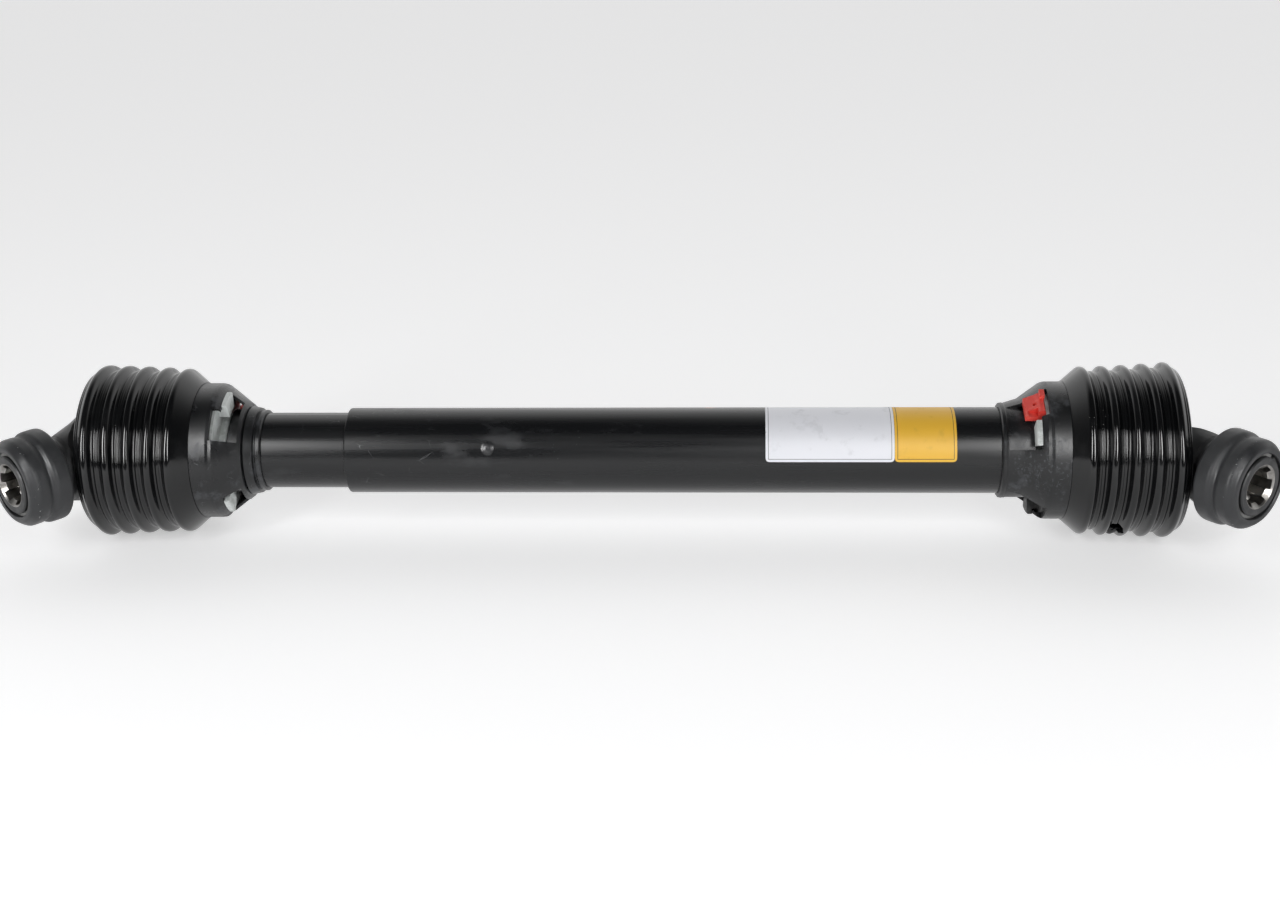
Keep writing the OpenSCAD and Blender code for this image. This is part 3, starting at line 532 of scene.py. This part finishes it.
def cut(piece, cutter_mesh):
    """Cuts a shape out of a piece and keeps the result as its mesh."""
    cutter = bpy.data.objects.new("cutter", cutter_mesh)
    bpy.context.scene.collection.objects.link(cutter)
    step = piece.modifiers.new("cut", "BOOLEAN")
    step.object, step.operation, step.solver = cutter, "DIFFERENCE", "EXACT"
    shown = piece.evaluated_get(bpy.context.evaluated_depsgraph_get())
    result = bpy.data.meshes.new_from_object(shown)
    piece.modifiers.remove(step)
    piece.data = result
    bpy.data.objects.remove(cutter)


def tear_flap(material):
    """The tongue of skin that the knock pushed out below the hole."""
    rows, columns = 8, 7
    mesh = bmesh.new()
    grid = []
    for i in range(rows):
        t = i / (rows - 1)
        half_w, lean = FLAP_HALF_W * (1 - 0.45 * t), 2.4 * t
        line = []
        for j in range(columns):
            across = 2 * j / (columns - 1) - 1
            r = FLAP_R + FLAP_LIFT * math.sin(1.7 * t) - 0.9 * abs(across)
            line.append(mesh.verts.new(around(JOINT_REACH + TEAR_X - lean + half_w * across,
                                              TEAR_TURN - (FLAP_START + FLAP_LEN * t) / SKIN_R, r)))
        grid.append(line)
    quads(mesh, grid)
    data = finished(mesh, "tear_flap", FLAP_T * MM)
    return add_piece("right_bell_flap", data, "outer_guard", material)


def spring_piece(name, material):
    """The collar's coil as a piece of its own, riding on the yoke."""
    node = frame["nodes"][name + "_collar_spring"]
    data = node.data.copy()
    data.materials.clear()
    coil = add_piece(name + "_spring_coil", data, name + "_yoke", material, 60)
    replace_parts(coil, name + "_collar_spring")
    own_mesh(coil)


# Labels: film plates with rounded corners, wrapped on the tube

def label_piece(name, x0, length, material):
    """A plate from x0, wrapped over the tube, with its flat coordinates in metres as UV."""
    corner = FILM_CORNER
    half_w, half_h = length / 2, TUBE_R * (LABEL_HIGH - LABEL_LOW) / 2
    columns, rows = round(length / FILM_MESH), round(2 * half_h / FILM_MESH)
    mesh = bmesh.new()
    uv = mesh.loops.layers.uv.new("flat")
    flat = {}
    grid = []
    for i in range(rows + 1):
        line = []
        for j in range(columns + 1):
            x, y = half_w * (2 * j / columns - 1), half_h * (2 * i / rows - 1)
            over = Vector((max(abs(x) - half_w + corner, 0), max(abs(y) - half_h + corner, 0)))
            if over.length > corner:
                back = over * (corner / over.length) - over
                x += back.x if x > 0 else -back.x
                y += back.y if y > 0 else -back.y
            turn = (LABEL_LOW + LABEL_HIGH) / 2 + y / TUBE_R
            vertex = mesh.verts.new(around(x0 + half_w + x, turn, TUBE_R + FILM_LIFT))
            flat[vertex] = (x * MM, y * MM)
            line.append(vertex)
        grid.append(line)
    for face in quads(mesh, grid):
        for loop in face.loops:
            loop[uv].uv = flat[loop.vert]
    data = finished(mesh, name, LABEL_T * MM)
    return add_piece(name + "_film", data, "outer_guard", material)


def dress_nodes():
    """Gives every CAD node its own material or its slot's; the labels' nodes are replaced later."""
    turned = steel_finish("bright_steel", (0.62, 0.61, 0.59), 0.26)
    looks = {
        "guard_black": moulded_finish(), "bell_black": bell_finish(),
        "nylon": nylon_finish("nylon_white", NO_BLACK_BELOW), "latch_red": red_finish(),
        "tube_steel": steel_finish("tube_steel", (0.36, 0.355, 0.35), 0.4, (0.1, 3, 3)),
        "yoke_dark": painted_finish(0), "bright_steel": turned, "seal_rubber": rubber_finish(),
        "fitting_brass": brass_finish(),
    }
    special = {"outer_guard_tube": tube_finish()}
    special["inner_guard_tube"] = special["outer_guard_tube"]
    special["right_guard_bearing"] = nylon_finish("nylon_black_below", AXIS_Z - BLACK_DROP * MM)
    for name, side in (("right", 1), ("left", -1)):
        special[name + "_end_yoke"] = painted_finish(side)
        special[name + "_lock_collar"] = collar_finish(side)
        special[name + "_collar_ring"] = steel_finish(f"ring_steel_{name}", (0.2, 0.2, 0.195), 0.38)
    for entry in frame["record"]["subparts"]:
        node, slot = entry["node"], entry["material_slot"]
        mesh = frame["nodes"][node].data
        mesh.materials.clear()
        mesh.materials.append(special.get(node) or looks.get(slot, turned))
    return looks


def studio():
    """Pale floor, two tall soft boxes in front with a card behind each that only gloss shows, and a surround
    that is pale behind and darkens overhead and in front."""
    bpy.ops.mesh.primitive_plane_add(size=FLOOR_SIZE, location=(0, 0, 0))
    floor = bpy.context.object
    floor.name = "floor"
    paper = Finish("floor_paper", (0.8, 0.8, 0.81), 0.8, Emission_Color=(1, 1, 1, 1), Emission_Strength=0.46)
    paper.tint(paper.fade(paper.noise(0.6, 2.0), 0.3, 0.7, 0.0, 0.3), (0.82, 0.82, 0.83))
    floor.data.materials.append(paper.material)
    for name, place, size, power in BOXES:
        light = bpy.data.lights.new(name, "AREA")
        light.shape, light.size, light.size_y, light.energy = "RECTANGLE", *size, power
        lamp = bpy.data.objects.new(name, light)
        lamp.location = place
        aim = BOX_AIM - Vector(place)
        lamp.rotation_euler = aim.to_track_quat("-Z", "Y").to_euler()
        bpy.context.scene.collection.objects.link(lamp)
        bpy.ops.mesh.primitive_plane_add(size=1, location=Vector(place) * 1.06, rotation=lamp.rotation_euler)
        card = bpy.context.object
        card.name, card.scale = name + "_card", CARD_SIZE
        glow = Finish(name + "_glow", (0, 0, 0), 1.0, Emission_Color=(1, 1, 1, 1))
        edges = [glow.fade(glow.calc("ABSOLUTE", glow.along(axis)), 0.5, 0.2) for axis in "XY"]
        glow.feed(glow.shader.inputs["Emission Strength"], glow.times(*edges, CARD_GLOW))
        card.data.materials.append(glow.material)
        card.visible_camera = card.visible_diffuse = card.visible_shadow = False
    world = bpy.data.worlds.new("surround")
    bpy.context.scene.world = world
    world.use_nodes = True
    nodes, links = world.node_tree.nodes, world.node_tree.links
    lean = nodes.new("ShaderNodeVectorMath")
    lean.operation = "DOT_PRODUCT"
    lean.inputs[1].default_value = (0, 1, -0.8)
    ramp = nodes.new("ShaderNodeMapRange")
    ramp.interpolation_type = "SMOOTHSTEP"
    for socket, value in ((1, -0.6), (2, 0.3), (3, 0.05), (4, 1.1)):
        ramp.inputs[socket].default_value = value
    links.new(nodes.new("ShaderNodeTexCoord").outputs["Generated"], lean.inputs[0])
    links.new(lean.outputs["Value"], ramp.inputs[0])
    links.new(ramp.outputs[0], nodes["Background"].inputs[1])
    nodes["Background"].inputs[0].default_value = (1, 1, 1, 1)


def camera():
    """The photograph's view: 22 degrees down, turned 3.2 degrees, and rolled so that the shaft is level."""
    yaw, pitch, distance = VIEW_YAW, VIEW_PITCH, VIEW_DISTANCE
    target = Vector((VIEW_X, AXIS_Y, AXIS_Z))
    ahead = Vector((-math.sin(yaw), math.cos(yaw) * math.cos(pitch), -math.cos(yaw) * math.sin(pitch)))
    up = Vector((0, math.sin(pitch), math.cos(pitch)))
    right = ahead.cross(up)
    lens = bpy.data.cameras.new("camera")
    lens.lens, lens.sensor_width = 50, 36
    view = bpy.data.objects.new("camera", lens)
    view.matrix_world = Matrix((right, up, -ahead)).transposed().to_4x4()
    view.location = target - ahead * distance
    bpy.context.scene.collection.objects.link(view)
    bpy.context.scene.camera = view


camera()
looks = dress_nodes()
for name, side, body, phase in (("right", 1, "outer_guard", 0.8), ("left", -1, "inner_guard", 2.9)):
    bell = add_piece(name + "_bell_skin", bell_mesh(name + "_bell_skin", side, phase), body,
                     looks["bell_black"], 60)
    if side > 0:
        cut(bell, tear_cutter())
    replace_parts(bell, name + "_guard_bell")
    spring_piece(name, looks["bright_steel"])
tear_flap(looks["bell_black"])
half_wrap = TUBE_R * (LABEL_HIGH - LABEL_LOW) / 2 * MM
white = label_finish("label_white", (0.9, 0.91, 0.96), WHITE_LEN / 2 * MM, half_wrap, (0.2, 0.2, 0.22))
yellow = label_finish("label_yellow", (0.9, 0.52, 0.045), YELLOW_LEN / 2 * MM, half_wrap, (0.12, 0.07, 0.02))
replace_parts(label_piece("white_label", LABEL_X, WHITE_LEN, white), "white_label")
yellow_x = LABEL_X + WHITE_LEN + LABEL_GAP
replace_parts(label_piece("yellow_label", yellow_x, YELLOW_LEN, yellow), "yellow_label")
studio()
bpy.context.scene.view_settings.view_transform = "Standard"
